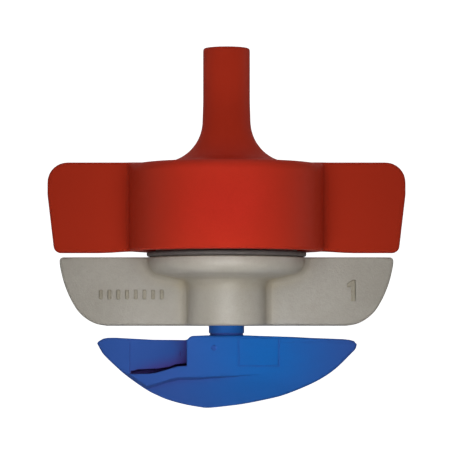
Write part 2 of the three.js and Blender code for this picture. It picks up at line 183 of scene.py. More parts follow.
def surface_net(values, origin, step):
    """Vertices and quads of the zero surface of a sampled field."""
    inside = values < 0
    shape = values.shape
    count = np.zeros(values.size, np.int32)
    total = np.zeros((3, values.size))
    quads = []
    for axis in range(3):
        b, c = (axis + 1) % 3, (axis + 2) % 3
        first = [slice(None)] * 3
        second = [slice(None)] * 3
        first[axis] = slice(0, -1)
        second[axis] = slice(1, None)
        crossing = inside[tuple(first)] != inside[tuple(second)]
        at = np.array(np.nonzero(crossing))
        after = at.copy()
        after[axis] += 1
        v0, v1 = values[tuple(at)], values[tuple(after)]
        point = at.astype(float)
        point[axis] += v0 / (v0 - v1)
        around = []
        for db, dc in ((0, 0), (-1, 0), (-1, -1), (0, -1)):
            cell = at.copy()
            cell[b] += db
            cell[c] += dc
            flat = np.ravel_multi_index(cell, shape)
            around.append(flat)
            count += np.bincount(flat, minlength=values.size).astype(np.int32)
            for k in range(3):
                total[k] += np.bincount(flat, point[k], minlength=values.size)
        ring_of_cells = np.stack(around, 1)
        leaving = v0 < 0
        ring_of_cells[~leaving] = ring_of_cells[~leaving][:, ::-1]
        quads.append(ring_of_cells)
    used = np.nonzero(count)[0]
    number = np.full(values.size, -1, np.int64)
    number[used] = np.arange(len(used))
    vertices = (total[:, used] / count[used]).T * step + origin
    return vertices, number[np.concatenate(quads)]


def slope(field, v, reach):
    """The field's gradient at each point, from differences over twice the reach."""
    parts = []
    for axis in range(3):
        ahead, behind = v.copy(), v.copy()
        ahead[:, axis] += reach
        behind[:, axis] -= reach
        parts.append((field(*ahead.T) - field(*behind.T)) / (2 * reach))
    return np.stack(parts, 1)


def unit(vectors):
    """Vectors scaled to a length of one."""
    return vectors / np.maximum(np.linalg.norm(vectors, axis=1), 1e-6)[:, None]


def settle(field, v, step):
    """Points moved onto the field's surface, by half a step at most each time."""
    for _ in range(2):
        g = slope(field, v, SLOPE_REACH)
        size = np.maximum((g * g).sum(1), LEAST_SLOPE_SQUARED)
        move = (field(*v.T) / size)[:, None] * g
        far = np.linalg.norm(move, axis=1)
        v = v - move * np.minimum(1, 0.5 * step / np.maximum(far, TINY))[:, None]
    return v


def relax(v, quads):
    """Each point's move towards the middle of its neighbours."""
    a = quads.ravel()
    b = np.roll(quads, -1, 1).ravel()
    near = np.bincount(a, minlength=len(v)) + np.bincount(b, minlength=len(v))
    middle = [
        np.bincount(a, v[b, k], len(v)) + np.bincount(b, v[a, k], len(v)) for k in range(3)
    ]
    return np.stack(middle, 1) / near[:, None] - v


def sculpt(name, field, low, high, step, keep=1.0):
    """A mesh object of the field between two corners, from a grid of the given step.
    keep is the share of its triangles that is left after flat stretches are thinned out."""
    low, high = np.array(low, float), np.array(high, float)
    origin = low - GRID_MARGIN * step
    axes = [
        (origin[k] + step * np.arange(math.ceil((high[k] - low[k]) / step) + 4)).astype(np.float32)
        for k in range(3)
    ]
    x, y, z = axes[0][:, None, None], axes[1][None, :, None], axes[2][None, None, :]
    values = np.broadcast_to(field(x, y, z), [len(a) for a in axes])
    v, quads = surface_net(values, origin, step)
    v = settle(field, v, step)
    for _ in range(RELAX_ROUNDS):
        move = relax(v, quads)
        n = unit(slope(field, v, SLOPE_REACH))
        v = v + RELAX_SHARE * (move - (move * n).sum(1)[:, None] * n)
        v = settle(field, v, step)
    mesh = bpy.data.meshes.new(name)
    mesh.from_pydata((v * MM).tolist(), [], quads.tolist())
    piece = bpy.data.objects.new(name, mesh)
    bpy.context.scene.collection.objects.link(piece)
    if keep < 1:
        thin = piece.modifiers.new("thin", "DECIMATE")
        thin.ratio = keep
        depsgraph = bpy.context.evaluated_depsgraph_get()
        lighter = bpy.data.meshes.new_from_object(piece.evaluated_get(depsgraph))
        piece.modifiers.clear()
        piece.data = lighter
        bpy.data.meshes.remove(mesh)
        lighter.name = name
    shade(piece, field, step)
    return piece


def shade(piece, field, step):
    """Puts every vertex on the surface and gives it the field's normal there."""
    mesh = piece.data
    co = np.zeros(len(mesh.vertices) * 3)
    mesh.vertices.foreach_get("co", co)
    v = settle(field, co.reshape(-1, 3) / MM, step)
    mesh.vertices.foreach_set("co", (v * MM).ravel())
    mesh.update()
    n = unit(slope(field, v, 0.3 * step))
    mesh.polygons.foreach_set("use_smooth", [True] * len(mesh.polygons))
    mesh.normals_split_custom_set_from_vertices(n.tolist())


# ------------------------------------------------------------------ inlet cap

# between pieces that touch on the real head
SEAT_GAP = 0.08
# how far a ledge, ring or web reaches into the wall that it stands on
INTO_WALL = 0.9
# how far a shape runs past the face where it ends or opens
OVERRUN = 1

CAP_TOP = -14.95
CAP_BOTTOM = seal_high.z + SEAT_GAP
CAP_RADIUS = cap_high.y
CAP_WALL = 1.8
CAVITY_RADIUS = CAP_RADIUS - CAP_WALL
CAVITY_TOP = CAP_TOP - CAP_WALL

CROWN_DROP = 0.2
CROWN_START, CROWN_END = 8.5, 12.2
CROWN_WING_START, CROWN_WING_END = 0.8, 2.2
EDGE_ROUND, SHOULDER_ROUND = 0.4, 1.3

STEM_RADIUS = 3.05
STEM_SWELL = 0.09
STEM_SWELL_START, STEM_SWELL_END = 6.5, 10.5
FLARE_RADIUS = 5.45
INLET_RADIUS = 1.7
INLET_CHAMFER = 0.35

CAP_WING_HALF = 1.0
CAP_WING_ROOT = 0.6
CAP_WING_CORNER = 2.6
CAP_WING_TAPER = 0.95
CAP_WING_TAPER_START = 4.2
CAP_WING_FOOT_ROUND = 0.8
CAP_WING_DROOP = CAP_BOTTOM - cap_low.z
CAP_WING_DROOP_START, CAP_WING_DROOP_END = 11.0, 17.0

CLAMP_INNER, CLAMP_OUTER, CLAMP_DEPTH = 5.6, 7.0, 1.55

LEDGE_INNER = 9.5
LEDGE_LIFT, LEDGE_THICK, LEDGE_SPAN = 0.6, 1.3, 110
LUG_THICK, LUG_SPAN = 1.2, 50
STOP_ABOVE_LEDGE = 1.4
STOP_SPAN = 4
LOCKED_STOP_AT, OPEN_STOP_AT = 28.5, -118.5


def cap_wing_side():
    """Right half of the cap wings' front view, run on past the middle and the bottom."""
    tip, past = cap_high.x, 6
    foot = tip - CAP_WING_TAPER
    corner = CAP_WING_CORNER
    return [
        (-past, CAP_BOTTOM - past),
        (foot - 0.8, CAP_BOTTOM - past),
        (foot, CAP_BOTTOM - 0.6),
        (tip, CAP_TOP - CAP_WING_TAPER_START),
        *arc(tip - corner, CAP_TOP - corner, corner, 0, 90),
        (-past, CAP_TOP),
    ]


def cap_edge_radius(across, z):
    """Radius of the cap's edges: larger along the shell's shoulder than on the wings."""
    beside_wings = ease(across, CAP_WING_HALF, CAP_WING_HALF + 4)
    upper = ease(z, CAP_BOTTOM + 3, CAP_BOTTOM + 7)
    return EDGE_ROUND + (SHOULDER_ROUND - EDGE_ROUND) * beside_wings * upper


def inlet_cap_field(x, y, z):
    r = length(x, y)
    across = np.abs(y)
    droop = CAP_WING_DROOP * ease(np.abs(x), CAP_WING_DROOP_START, CAP_WING_DROOP_END)
    low_edge = CAP_BOTTOM - droop
    front = meet(outline(cap_wing_side(), np.abs(x), z), low_edge - z, CAP_WING_FOOT_ROUND)
    beside_wings = ease(across, CROWN_WING_START, CROWN_WING_END)
    crown = CROWN_DROP * ease(r, CROWN_START, CROWN_END) * beside_wings
    plan = fillet(r - CAP_RADIUS, across - CAP_WING_HALF, CAP_WING_ROOT)
    block = meet(plan, np.maximum(front, z - CAP_TOP + crown), cap_edge_radius(across, z))
    stem_radius = STEM_RADIUS + STEM_SWELL * ease(-z, STEM_SWELL_START, STEM_SWELL_END)
    stem = np.maximum(meet(r - stem_radius, z, 0.3), CAP_TOP - OVERRUN - z)
    whole = fillet(stem, block, FLARE_RADIUS)
    cavity = meet(r - CAVITY_RADIUS, z - CAVITY_TOP, 0.4)
    whole = cut(whole, cavity, 0.2)
    clamp_low, clamp_high = CAVITY_TOP - CLAMP_DEPTH, CAVITY_TOP + INTO_WALL
    clamp = ring(r, z, CLAMP_INNER, CLAMP_OUTER, clamp_low, clamp_high, 0.15)
    whole = fillet(whole, clamp, 0.2)
    bore = r - INLET_RADIUS - np.maximum(z + INLET_CHAMFER, 0)
    whole = cut(whole, np.maximum(bore, CAVITY_TOP - OVERRUN - z), 0.12)
    return np.minimum(whole, bayonet_ledges_field(x, y, r, z))


def sector(x, y, centre, span):
    """Distance past the sides of a sector and of its twin across the axis.
    centre and span are in degrees."""
    a, half = math.radians(centre), math.radians(span / 2)
    along = x * math.cos(a) + y * math.sin(a)
    across = y * math.cos(a) - x * math.sin(a)
    return np.abs(across) * math.cos(half) - np.abs(along) * math.sin(half)


def bayonet_ledges_field(x, y, r, z):
    """The two ledges that carry the housing's lugs, and the stops at both ends of the turn."""
    low = CAP_BOTTOM + LEDGE_LIFT
    top = low + LEDGE_THICK
    stop_top = top + STOP_ABOVE_LEDGE
    outer = CAVITY_RADIUS + INTO_WALL
    ledge = ring(r, z, LEDGE_INNER, outer, low, top, 0.12)
    locked_stop = ring(r, z, LEDGE_INNER, outer, top - LEDGE_THICK / 2, stop_top, 0.1)
    open_stop = ring(r, z, LEDGE_INNER, outer, low, stop_top, 0.1)
    ledge = meet(ledge, sector(x, y, 0, LEDGE_SPAN), 0.1)
    locked_stop = meet(locked_stop, sector(x, y, LOCKED_STOP_AT, STOP_SPAN), 0.1)
    open_stop = meet(open_stop, sector(x, y, OPEN_STOP_AT, STOP_SPAN), 0.1)
    return np.minimum(ledge, np.minimum(locked_stop, open_stop))


# ------------------------------------------------------------------ housing

HOUSING_TOP = seal_low.z - SEAT_GAP
HOUSING_BOTTOM = housing_low.z
HOUSING_WING_HALF = 0.9
HOUSING_WING_ROOT = 0.7

BARREL_RADIUS = 5.3
BOWL_RADIUS = housing_high.y
BOWL_DEPTH = 3.0
BOWL_SLOPE = 0.22
BOWL_ROUND = 1.3
BOWL_FILLET = 0.9

TOP_EDGE, TOP_CORNER = 0.18, 0.48
TOP_CORNER_START, TOP_CORNER_END = 19.5, 21.2

COLLAR_RADIUS = 9.2
COLLAR_TOP = housing_high.z
COLLAR_ROOT = 0.5
LUG_ROOT = 0.6
LUG_REACH = CAVITY_RADIUS - 0.3
LUG_LOW = CAP_BOTTOM + 2.1

CHAMBER_RADIUS = 6.7
CHAMBER_FLOOR = HOUSING_TOP - 1.0
NOZZLE_THICK = 2.0
NOZZLE_SEAT = nozzle_high.z - NOZZLE_THICK - SEAT_GAP
NOZZLE_SEAT_RADIUS = 7.68
BUSH_RADIUS = 3.5


def housing_silhouette():
    """Right half of the wings' front view, run on past the middle and the top."""
    tip, low, past = housing_high.x, HOUSING_BOTTOM, 4
    side = smooth_curve(
        [
            (15.6, low),
            (16.9, low + 0.24),
            (18.1, low + 0.84),
            (19.2, low + 1.8),
            (20.0, low + 3.0),
            (20.6, low + 4.2),
            (21.1, low + 5.5),
            (21.45, low + 6.8),
            (tip - 0.02, low + 8.0),
            (tip, low + 9.2),
        ]
    )
    return [(-past, low), *side, (tip, HOUSING_TOP + past), (-past, HOUSING_TOP + past)]


def housing_field(x, y, z):
    r = length(x, y)
    front = outline(housing_silhouette(), np.abs(x), z)
    plan = fillet(r - BARREL_RADIUS, np.abs(y) - HOUSING_WING_HALF, HOUSING_WING_ROOT)
    wings = meet(plan, front, 0.35)
    underside = HOUSING_TOP - BOWL_DEPTH + BOWL_SLOPE * (r - BARREL_RADIUS)
    bowl = meet(r - BOWL_RADIUS, (underside - z) * 0.977, BOWL_ROUND)
    whole = fillet(wings, bowl, BOWL_FILLET)
    near_tip = ease(np.abs(x), TOP_CORNER_START, TOP_CORNER_END)
    whole = meet(whole, z - HOUSING_TOP, TOP_EDGE + (TOP_CORNER - TOP_EDGE) * near_tip)
    collar = meet(r - COLLAR_RADIUS, slab(z, HOUSING_TOP - COLLAR_ROOT, COLLAR_TOP), 0.25)
    lug_inner = COLLAR_RADIUS - LUG_ROOT
    lugs = ring(r, z, lug_inner, LUG_REACH, LUG_LOW, LUG_LOW + LUG_THICK, 0.15)
    lugs = meet(lugs, sector(x, y, 0, LUG_SPAN), 0.15)
    whole = np.minimum(whole, fillet(collar, lugs, 0.1))
    whole = cut(whole, np.maximum(r - NOZZLE_SEAT_RADIUS, NOZZLE_SEAT - z), 0.12)
    whole = cut(whole, meet(r - CHAMBER_RADIUS, CHAMBER_FLOOR - z, 0.3), 0.12)
    return cut(whole, r - BUSH_RADIUS - SEAT_GAP, 0.12)


# ------------------------------------------------------------------ small turned pieces

SEAL_WIDTH = 1.12
DIAPHRAGM_RIM = 5.4
DIAPHRAGM_HOLE = 1.0
DIAPHRAGM_RECESS = 0.3
DISH_INNER, DISH_OUTER, DISH_DEPTH = 2.4, 5.4, 0.6
JET_FACE_DEPTH = 0.15
NOZZLE_NOSE, NOZZLE_NOSE_TAPER = 1.7, 0.2
JET_RADIUS = 0.65
BUSH_FLANGE_THICK = 0.6
SHAFT_RADIUS = 2.3
SHAFT_HOLE = SHAFT_RADIUS + SEAT_GAP


def seal_ring_field(x, y, z):
    outer = seal_high.x
    return ring(length(x, y), z, outer - SEAL_WIDTH, outer, seal_low.z, seal_high.z, 0.28)


def flow_diaphragm_field(x, y, z):
    r = length(x, y)
    outer = diaphragm_high.x
    low, high = diaphragm_low.z, diaphragm_high.z
    rim = ring(r, z, DIAPHRAGM_RIM, outer, low, high, 0.2)
    web_low, web_high = low + DIAPHRAGM_RECESS, high - DIAPHRAGM_RECESS
    web = ring(r, z, DIAPHRAGM_HOLE, DIAPHRAGM_RIM + INTO_WALL, web_low, web_high, 0.15)
    return fillet(rim, web, 0.25)


def nozzle_insert_field(x, y, z):
    r = length(x, y)
    top, outer = nozzle_high.z, nozzle_high.x
    plate = ring(r, z, -outer, outer, top - NOZZLE_THICK, top, 0.15)
    above = top + 2
    dish = ring(r, z, DISH_INNER, DISH_OUTER, top - DISH_DEPTH, above, 0.15)
    jet_face = ring(r, z, -DISH_INNER, DISH_INNER, top - JET_FACE_DEPTH, above, 0.02)
    plate = cut(cut(plate, dish, 0.1), jet_face, 0.05)
    nose_radius = NOZZLE_NOSE - NOZZLE_NOSE_TAPER * (top - NOZZLE_THICK - z)
    nose = meet(r - nose_radius, slab(z, nozzle_low.z, top - NOZZLE_THICK / 2), 0.1)
    return cut(fillet(plate, nose, 0.25), r - JET_RADIUS, 0.08)


def bearing_bush_field(x, y, z):
    r = length(x, y)
    reach, top = bush_high.x, bush_high.z
    flange = ring(r, z, -reach, reach, top - BUSH_FLANGE_THICK, top, 0.12)
    sleeve = ring(r, z, -BUSH_RADIUS, BUSH_RADIUS, bush_low.z, top, 0.15)
    return cut(np.minimum(flange, sleeve), r - SHAFT_HOLE, 0.12)


def thrust_washer_field(x, y, z):
    r = length(x, y)
    return ring(r, z, SHAFT_HOLE, washer_high.x, washer_low.z, washer_high.z, 0.12)


# ------------------------------------------------------------------ spindle

PLUG_RADIUS = 1.6
PLUG_FLAT = 1.25
BEAD_RADIUS, BEAD_LIFT = 0.12, 0.65
BLADE_TOP = blade_high.z
HUB_SINK = 0.03
SHOULDER = BLADE_TOP - HUB_SINK
FOOT_GROOVE_LOW, FOOT_GROOVE_HIGH = BLADE_TOP + 0.06, BLADE_TOP + 0.28
FOOT_GROOVE_DEPTH = 0.16
PLUG_END = spindle_low.z
HEAD_THICK = 1.25
SHAFT_INTO_HEAD = 0.3
PLUG_INTO_SHAFT = 0.5
WATERWAY_RADIUS, FUNNEL_RADIUS = 0.9, 2.4
PORT_LEVEL = BLADE_TOP - 2.4
WINDOW_RADIUS = 0.8


def spindle_field(x, y, z):
    r = length(x, y)
    reach, top = spindle_high.x, spindle_high.z
    head = ring(r, z, -reach, reach, top - HEAD_THICK, top, 0.2)
    shaft = meet(r - SHAFT_RADIUS, slab(z, SHOULDER, top - SHAFT_INTO_HEAD), 0.02)
    groove_inner = SHAFT_RADIUS - FOOT_GROOVE_DEPTH
    groove_outer = SHAFT_RADIUS + OVERRUN
    groove = ring(r, z, groove_inner, groove_outer, FOOT_GROOVE_LOW, FOOT_GROOVE_HIGH, 0.02)
    shaft = cut(shaft, groove, 0.03)
    plug = meet(r - PLUG_RADIUS, slab(z, PLUG_END, SHOULDER + PLUG_INTO_SHAFT), 0.2)
    bead = length(np.abs(r - PLUG_RADIUS), z - PLUG_END - BEAD_LIFT) - BEAD_RADIUS
    plug = meet(np.minimum(plug, bead), y - PLUG_FLAT, 0.08)
    whole = np.minimum(fillet(head, shaft, 0.1), plug)
    funnel = r - np.maximum(WATERWAY_RADIUS, FUNNEL_RADIUS - np.maximum(top - z, 0))
    waterway = meet(funnel * 0.8, PORT_LEVEL - WATERWAY_RADIUS - z, 0.2)
    window = np.maximum(length(y, z - PORT_LEVEL) - WINDOW_RADIUS, x)
    return cut(cut(whole, waterway, 0.1), window, 0.06)


# ------------------------------------------------------------------ rotor blade

BLADE_REACH = blade_high.x
BLADE_HALF = blade_high.y
BLADE_TIP_THINNING = 1.4
BLADE_EDGE_ROUND = 0.38
KEEL = blade_low.z
KEEL_HALF, KEEL_LEVEL, KEEL_TAPER = 1.1, 9.4, 0.357
CREASE_SOFTNESS = 0.25
KEEL_STEP_DEPTH, KEEL_STEP_FADE = 0.8, 6.5
LEDGE_SET, LEDGE_LEAN = 0.12, 0.45

CHANNEL_HUB_SIDE, CHANNEL_TIP_SIDE = -5.15, -12.55
CHANNEL_BACK, CHANNEL_SLANT = 1.0, 0.395
CHANNEL_BEND, CHANNEL_BEND_SOFTNESS = -6, 0.7
SLIT_DEPTH = 1.1
PORT_RADIUS, PORT_REACH = 0.9, 6

PAD_LEFT, PAD_RIGHT, PAD_LOW, PAD_HIGH = 1.6, 6.75, 3.98, 0.35
STRIP_LEFT, STRIP_LOW = 7.0, 1.07
PAD_RISE, STRIP_SINK, SEAM_DEPTH = 0.05, 0.05, 0.07
PAD_EDGE, STRIP_EDGE = 0.07, 0.16
SEAM_FLAT, SEAM_HALF = 0.03, 0.14
POCKET_LEFT, POCKET_RIGHT, POCKET_LOW, POCKET_HIGH = 2.6, 6.8, 3.9, 1.1
POCKET_FLOOR = -0.4
GATE_X, GATE_DROP = -1.63, 1.62
GATE_MARK_DEPTH, GATE_MARK_FLAT, GATE_MARK_RADIUS = 0.16, 0.12, 0.45


def blade_silhouette():
    """The blade's front view, clockwise from the left tip."""
    top = BLADE_TOP
    deck = [
        (-16.8, top - 1.05),
        (-16.62, top - 0.78),
        (-16.0, top - 0.43),
        (-15.4, top - 0.32),
        (-14.4, top - 0.31),
        (-9.6, top - 0.57),
        (-5.4, top - 0.61),
        (-5.05, top - 0.52),
        (-4.75, top - 0.2),
        (-4.4, top - 0.07),
        (-2.6, top),
        (2.6, top),
        (4.1, top - 0.06),
        (8.6, top - 0.2),
        (11.0, top - 0.33),
        (15.2, top - 0.49),
        (16.0, top - 0.58),
        (16.6, top - 0.74),
        (BLADE_REACH - 0.03, top - 1.15),
    ]
    keel = smooth_curve(
        [
            (BLADE_REACH - 0.03, top - 1.15),
            (16.75, top - 1.75),
            (16.1, top - 2.45),
            (14.2, top - 4.29),
            (12.3, top - 5.6),
            (10.2, top - 6.64),
            (7.3, top - 7.78),
            (4.8, top - 8.39),
            (2.3, top - 8.88),
            (-0.2, top - 9.21),
            (-2.4, KEEL + 0.01),
            (-3.7, top - 9.28),
            (-5.5, top - 8.95),
            (-7.5, top - 8.4),
            (-9.0, top - 7.78),
            (-10.5, top - 6.98),
            (-12.9, top - 5.3),
            (-14.6, top - 3.81),
            (-15.9, top - 2.54),
            (-16.4, top - 1.8),
            (-16.8, top - 1.05),
        ]
    )
    return deck + keel[1:-1]


def blade_half_thickness(x, z):
    """Half the blade's thickness: it thins towards the tips and towards the keel."""
    lens = BLADE_HALF - BLADE_TIP_THINNING * (x / BLADE_REACH) ** 2
    taper = KEEL_HALF + KEEL_TAPER * (KEEL_LEVEL - (BLADE_TOP - z))
    crease = np.maximum(CREASE_SOFTNESS - np.abs(lens - taper), 0)
    return np.minimum(lens, taper) - crease * crease


def jet_channel_field(x, y, z):
    """The spray channel: its back wall slants forwards and its floor rises towards the hub."""
    top = BLADE_TOP
    floor = [
        (CHANNEL_HUB_SIDE, top - 3.95),
        (-6.4, top - 4.04),
        (-7.75, top - 4.46),
        (-9.2, top - 4.86),
        (-10.0, top - 4.98),
    ]
    side = [
        (CHANNEL_HUB_SIDE, top + 3),
        *floor,
        (CHANNEL_TIP_SIDE, top - 5.0),
        (CHANNEL_TIP_SIDE, top + 3),
    ]
    from_bend = x - CHANNEL_BEND
    outwards = (from_bend - length(from_bend, CHANNEL_BEND_SOFTNESS)) / 2
    back = CHANNEL_BACK + CHANNEL_SLANT * outwards
    wall = meet(outline(side, x, z), (y - back) * 0.92, 0.15)
    slit = [
        (CHANNEL_HUB_SIDE, top - 3.66),
        *floor,
        (-12.4, top - 4.98),
        (-12.4, top - 4.68),
        (-11.4, top - 4.46),
        (-9.7, top - 4.39),
        (-8.9, top - 4.38),
        (-7.6, top - 4.16),
        (-6.5, top - 3.8),
    ]
    groove = meet(outline(slit, x, z), (y - back - SLIT_DEPTH) * 0.92, 0.1)
    return np.minimum(wall, groove)


def keel_step_field(x, y, z):
    """The set-back front of the keel, under the channel's ledge. It fades out past the hub."""
    top = BLADE_TOP
    below = outline(
        [
            (-13.3, top - 4.9),
            (-12.5, top - 5.2),
            (-10.35, top - 6.67),
            (-9.0, top - 6.3),
            (-7.2, top - 5.74),
            (-6.3, top - 5.55),
            (-3.2, top - 5.5),
            (0.4, top - 5.36),
            (6, top - 5.1),
            (7, top - 12),
            (-18, top - 12),
            (-18, top - 6.15),
        ],
        x,
        z,
    )
    depth = KEEL_STEP_DEPTH * (1 - ease(x, -KEEL_STEP_FADE, KEEL_STEP_FADE))
    behind = y + blade_half_thickness(x, z)
    ledge = (below - LEDGE_SET + LEDGE_LEAN * np.maximum(behind, 0)) * 0.91
    return np.maximum(ledge, behind - depth)


def front_marks(x, y, z):
    """Depth of the faint marks on the front: the pad over the pocket is raised, a seam runs round
    it, the strip along the deck beyond it is sunk, and the gate leaves a dent."""
    top = BLADE_TOP
    pad = np.maximum(slab(x, PAD_LEFT, PAD_RIGHT), slab(z, top - PAD_LOW, top - PAD_HIGH))
    strip = np.maximum(STRIP_LEFT - x, top - STRIP_LOW - z)
    from_gate = length(x - GATE_X, z - top + GATE_DROP)
    rise = PAD_RISE * ease(-pad, -PAD_EDGE, PAD_EDGE)
    sink = STRIP_SINK * ease(-strip, 0, STRIP_EDGE)
    seam = SEAM_DEPTH * (1 - ease(np.abs(pad), SEAM_FLAT, SEAM_HALF))
    dent = GATE_MARK_DEPTH * (1 - ease(from_gate, GATE_MARK_FLAT, GATE_MARK_RADIUS))
    return (sink - rise + seam + dent) * (y < 0)


def rotor_blade_field(x, y, z):
    top = BLADE_TOP
    front = outline(blade_silhouette(), x, z)
    face = np.abs(y) - blade_half_thickness(x, z) + PAD_RISE
    whole = meet(front, face * 0.97, BLADE_EDGE_ROUND) + front_marks(x, y, z)
    whole = cut(whole, keel_step_field(x, y, z), 0.1)
    whole = cut(whole, jet_channel_field(x, y, z), 0.14)
    across = slab(x, POCKET_LEFT, POCKET_RIGHT)
    pocket = np.maximum(across, slab(z, top - POCKET_LOW, top - POCKET_HIGH))
    whole = cut(whole, meet(pocket, POCKET_FLOOR - y, 0.2), 0.15)
    r = length(x, y)
    socket = meet(r - PLUG_RADIUS - SEAT_GAP, y - PLUG_FLAT - SEAT_GAP, 0.05)
    whole = cut(whole, np.maximum(socket, PLUG_END - SEAT_GAP - z), 0.1)
    port = np.maximum(length(y, z - PORT_LEVEL) - PORT_RADIUS, slab(x, -PORT_REACH, 0))
    return cut(whole, port, 0.1)


# ------------------------------------------------------------------ raised marks on the wings

MARK_FACE = -HOUSING_WING_HALF
MARK_RISE = 0.22
MARK_ROOT = 0.3
NUMERAL_X, NUMERAL_Z = 16.35, HOUSING_TOP - 4.35
BAR_FIRST, BAR_LAST, BAR_COUNT = -16.3, -8.4, 8
BAR_Z = HOUSING_TOP - 4.85
BAR_HALF_WIDTH, BAR_HALF_HEIGHT, BAR_CORNER = 0.24, 0.62, 0.15


def raised(flat, y):
    """A flat outline's field stood out of the front of the wing, with a soft edge."""
    return meet(flat, slab(y, MARK_FACE - MARK_RISE, MARK_FACE + MARK_ROOT), 0.09)


def numeral_field(x, y, z):
    """The digit 1."""
    u, v = x - NUMERAL_X, z - NUMERAL_Z
    stem = [(-0.18, -1.38), (0.38, -1.38), (0.38, 1.4), (0.0, 1.4), (-0.18, 1.2)]
    flag = [(-0.18, 0.55), (0.1, 0.8), (0.1, 1.4), (0.0, 1.4), (-0.68, 0.9), (-0.68, 0.4)]
    return raised(np.minimum(outline(stem, u, v), outline(flag, u, v)), y)


def bar_field(centre):
    """A plain upright bar with round corners."""

    def field(x, y, z):
        across = np.abs(x - centre) - BAR_HALF_WIDTH
        along = np.abs(z - BAR_Z) - BAR_HALF_HEIGHT
        past_side = np.maximum(across + BAR_CORNER, 0)
        past_end = np.maximum(along + BAR_CORNER, 0)
        flat = length(past_side, past_end) - BAR_CORNER
        return raised(np.maximum(flat, np.maximum(across, along)), y)

    return field


# ------------------------------------------------------------------ materials


def srgb(*levels):
    """An 8-bit screen colour as linear light."""
    return [((c / 255 + 0.055) / 1.055) ** 2.4 if c > 10 else c / 255 / 12.92 for c in levels]


class Nodes:
    """Short names for making and joining one material's nodes."""

    def __init__(self, name):
        self.material = bpy.data.materials.new(name)
        self.material.use_nodes = True
        self.tree = self.material.node_tree
        self.shader = self.tree.nodes["Principled BSDF"]
        place = self.tree.nodes.new("ShaderNodeTexCoord")
        self.place = place.outputs["Object"]

    def link(self, source, target):
        self.tree.links.new(source, target)

    def noise(self, scale_mm, detail=3, roughness=0.5, stretch=(1, 1, 1)):
        """Noise with features of about scale_mm, stretched along an axis by stretch."""
        mapping = self.tree.nodes.new("ShaderNodeMapping")
        mapping.inputs["Scale"].default_value = [1 / s for s in stretch]
        self.link(self.place, mapping.inputs["Vector"])
        noise = self.tree.nodes.new("ShaderNodeTexNoise")
        noise.inputs["Scale"].default_value = 1 / (scale_mm * MM)
        noise.inputs["Detail"].default_value = detail
        noise.inputs["Roughness"].default_value = roughness
        self.link(mapping.outputs["Vector"], noise.inputs["Vector"])
        return noise.outputs["Fac"]

    def span(self, value, low, high, out_low, out_high):
        node = self.tree.nodes.new("ShaderNodeMapRange")
        self.link(value, node.inputs["Value"])
        for name, number in zip(
            ("From Min", "From Max", "To Min", "To Max"), (low, high, out_low, out_high)
        ):
            node.inputs[name].default_value = number
        return node.outputs["Result"]

    def mix(self, share, first, second):
        node = self.tree.nodes.new("ShaderNodeMix")
        node.data_type = "RGBA"
        self.link(share, node.inputs["Factor"])
        for socket, value in ((node.inputs[6], first), (node.inputs[7], second)):
            if isinstance(value, bpy.types.NodeSocket):
                self.link(value, socket)
            else:
                socket.default_value = [*value, 1]
        return node.outputs[2]

    def distance(self, point_mm):
        """Distance to a point of the object, in metres."""
        node = self.tree.nodes.new("ShaderNodeVectorMath")
        node.operation = "DISTANCE"
        self.link(self.place, node.inputs[0])
        node.inputs[1].default_value = [c * MM for c in point_mm]
        return node.outputs["Value"]

    def bump(self, height, depth_mm, before=None):
        node = self.tree.nodes.new("ShaderNodeBump")
        node.inputs["Distance"].default_value = depth_mm * MM
        self.link(height, node.inputs["Height"])
        if before is not None:
            self.link(before, node.inputs["Normal"])
        return node.outputs["Normal"]


DRIFT_MM, MOTTLE_MM = 5.0, 0.9
WAVE_DEPTH = 0.02
# distances from gate, in mm, over which the painted shade of far comes in
SHADE_STARTS, SHADE_FULL = 2.5, 12


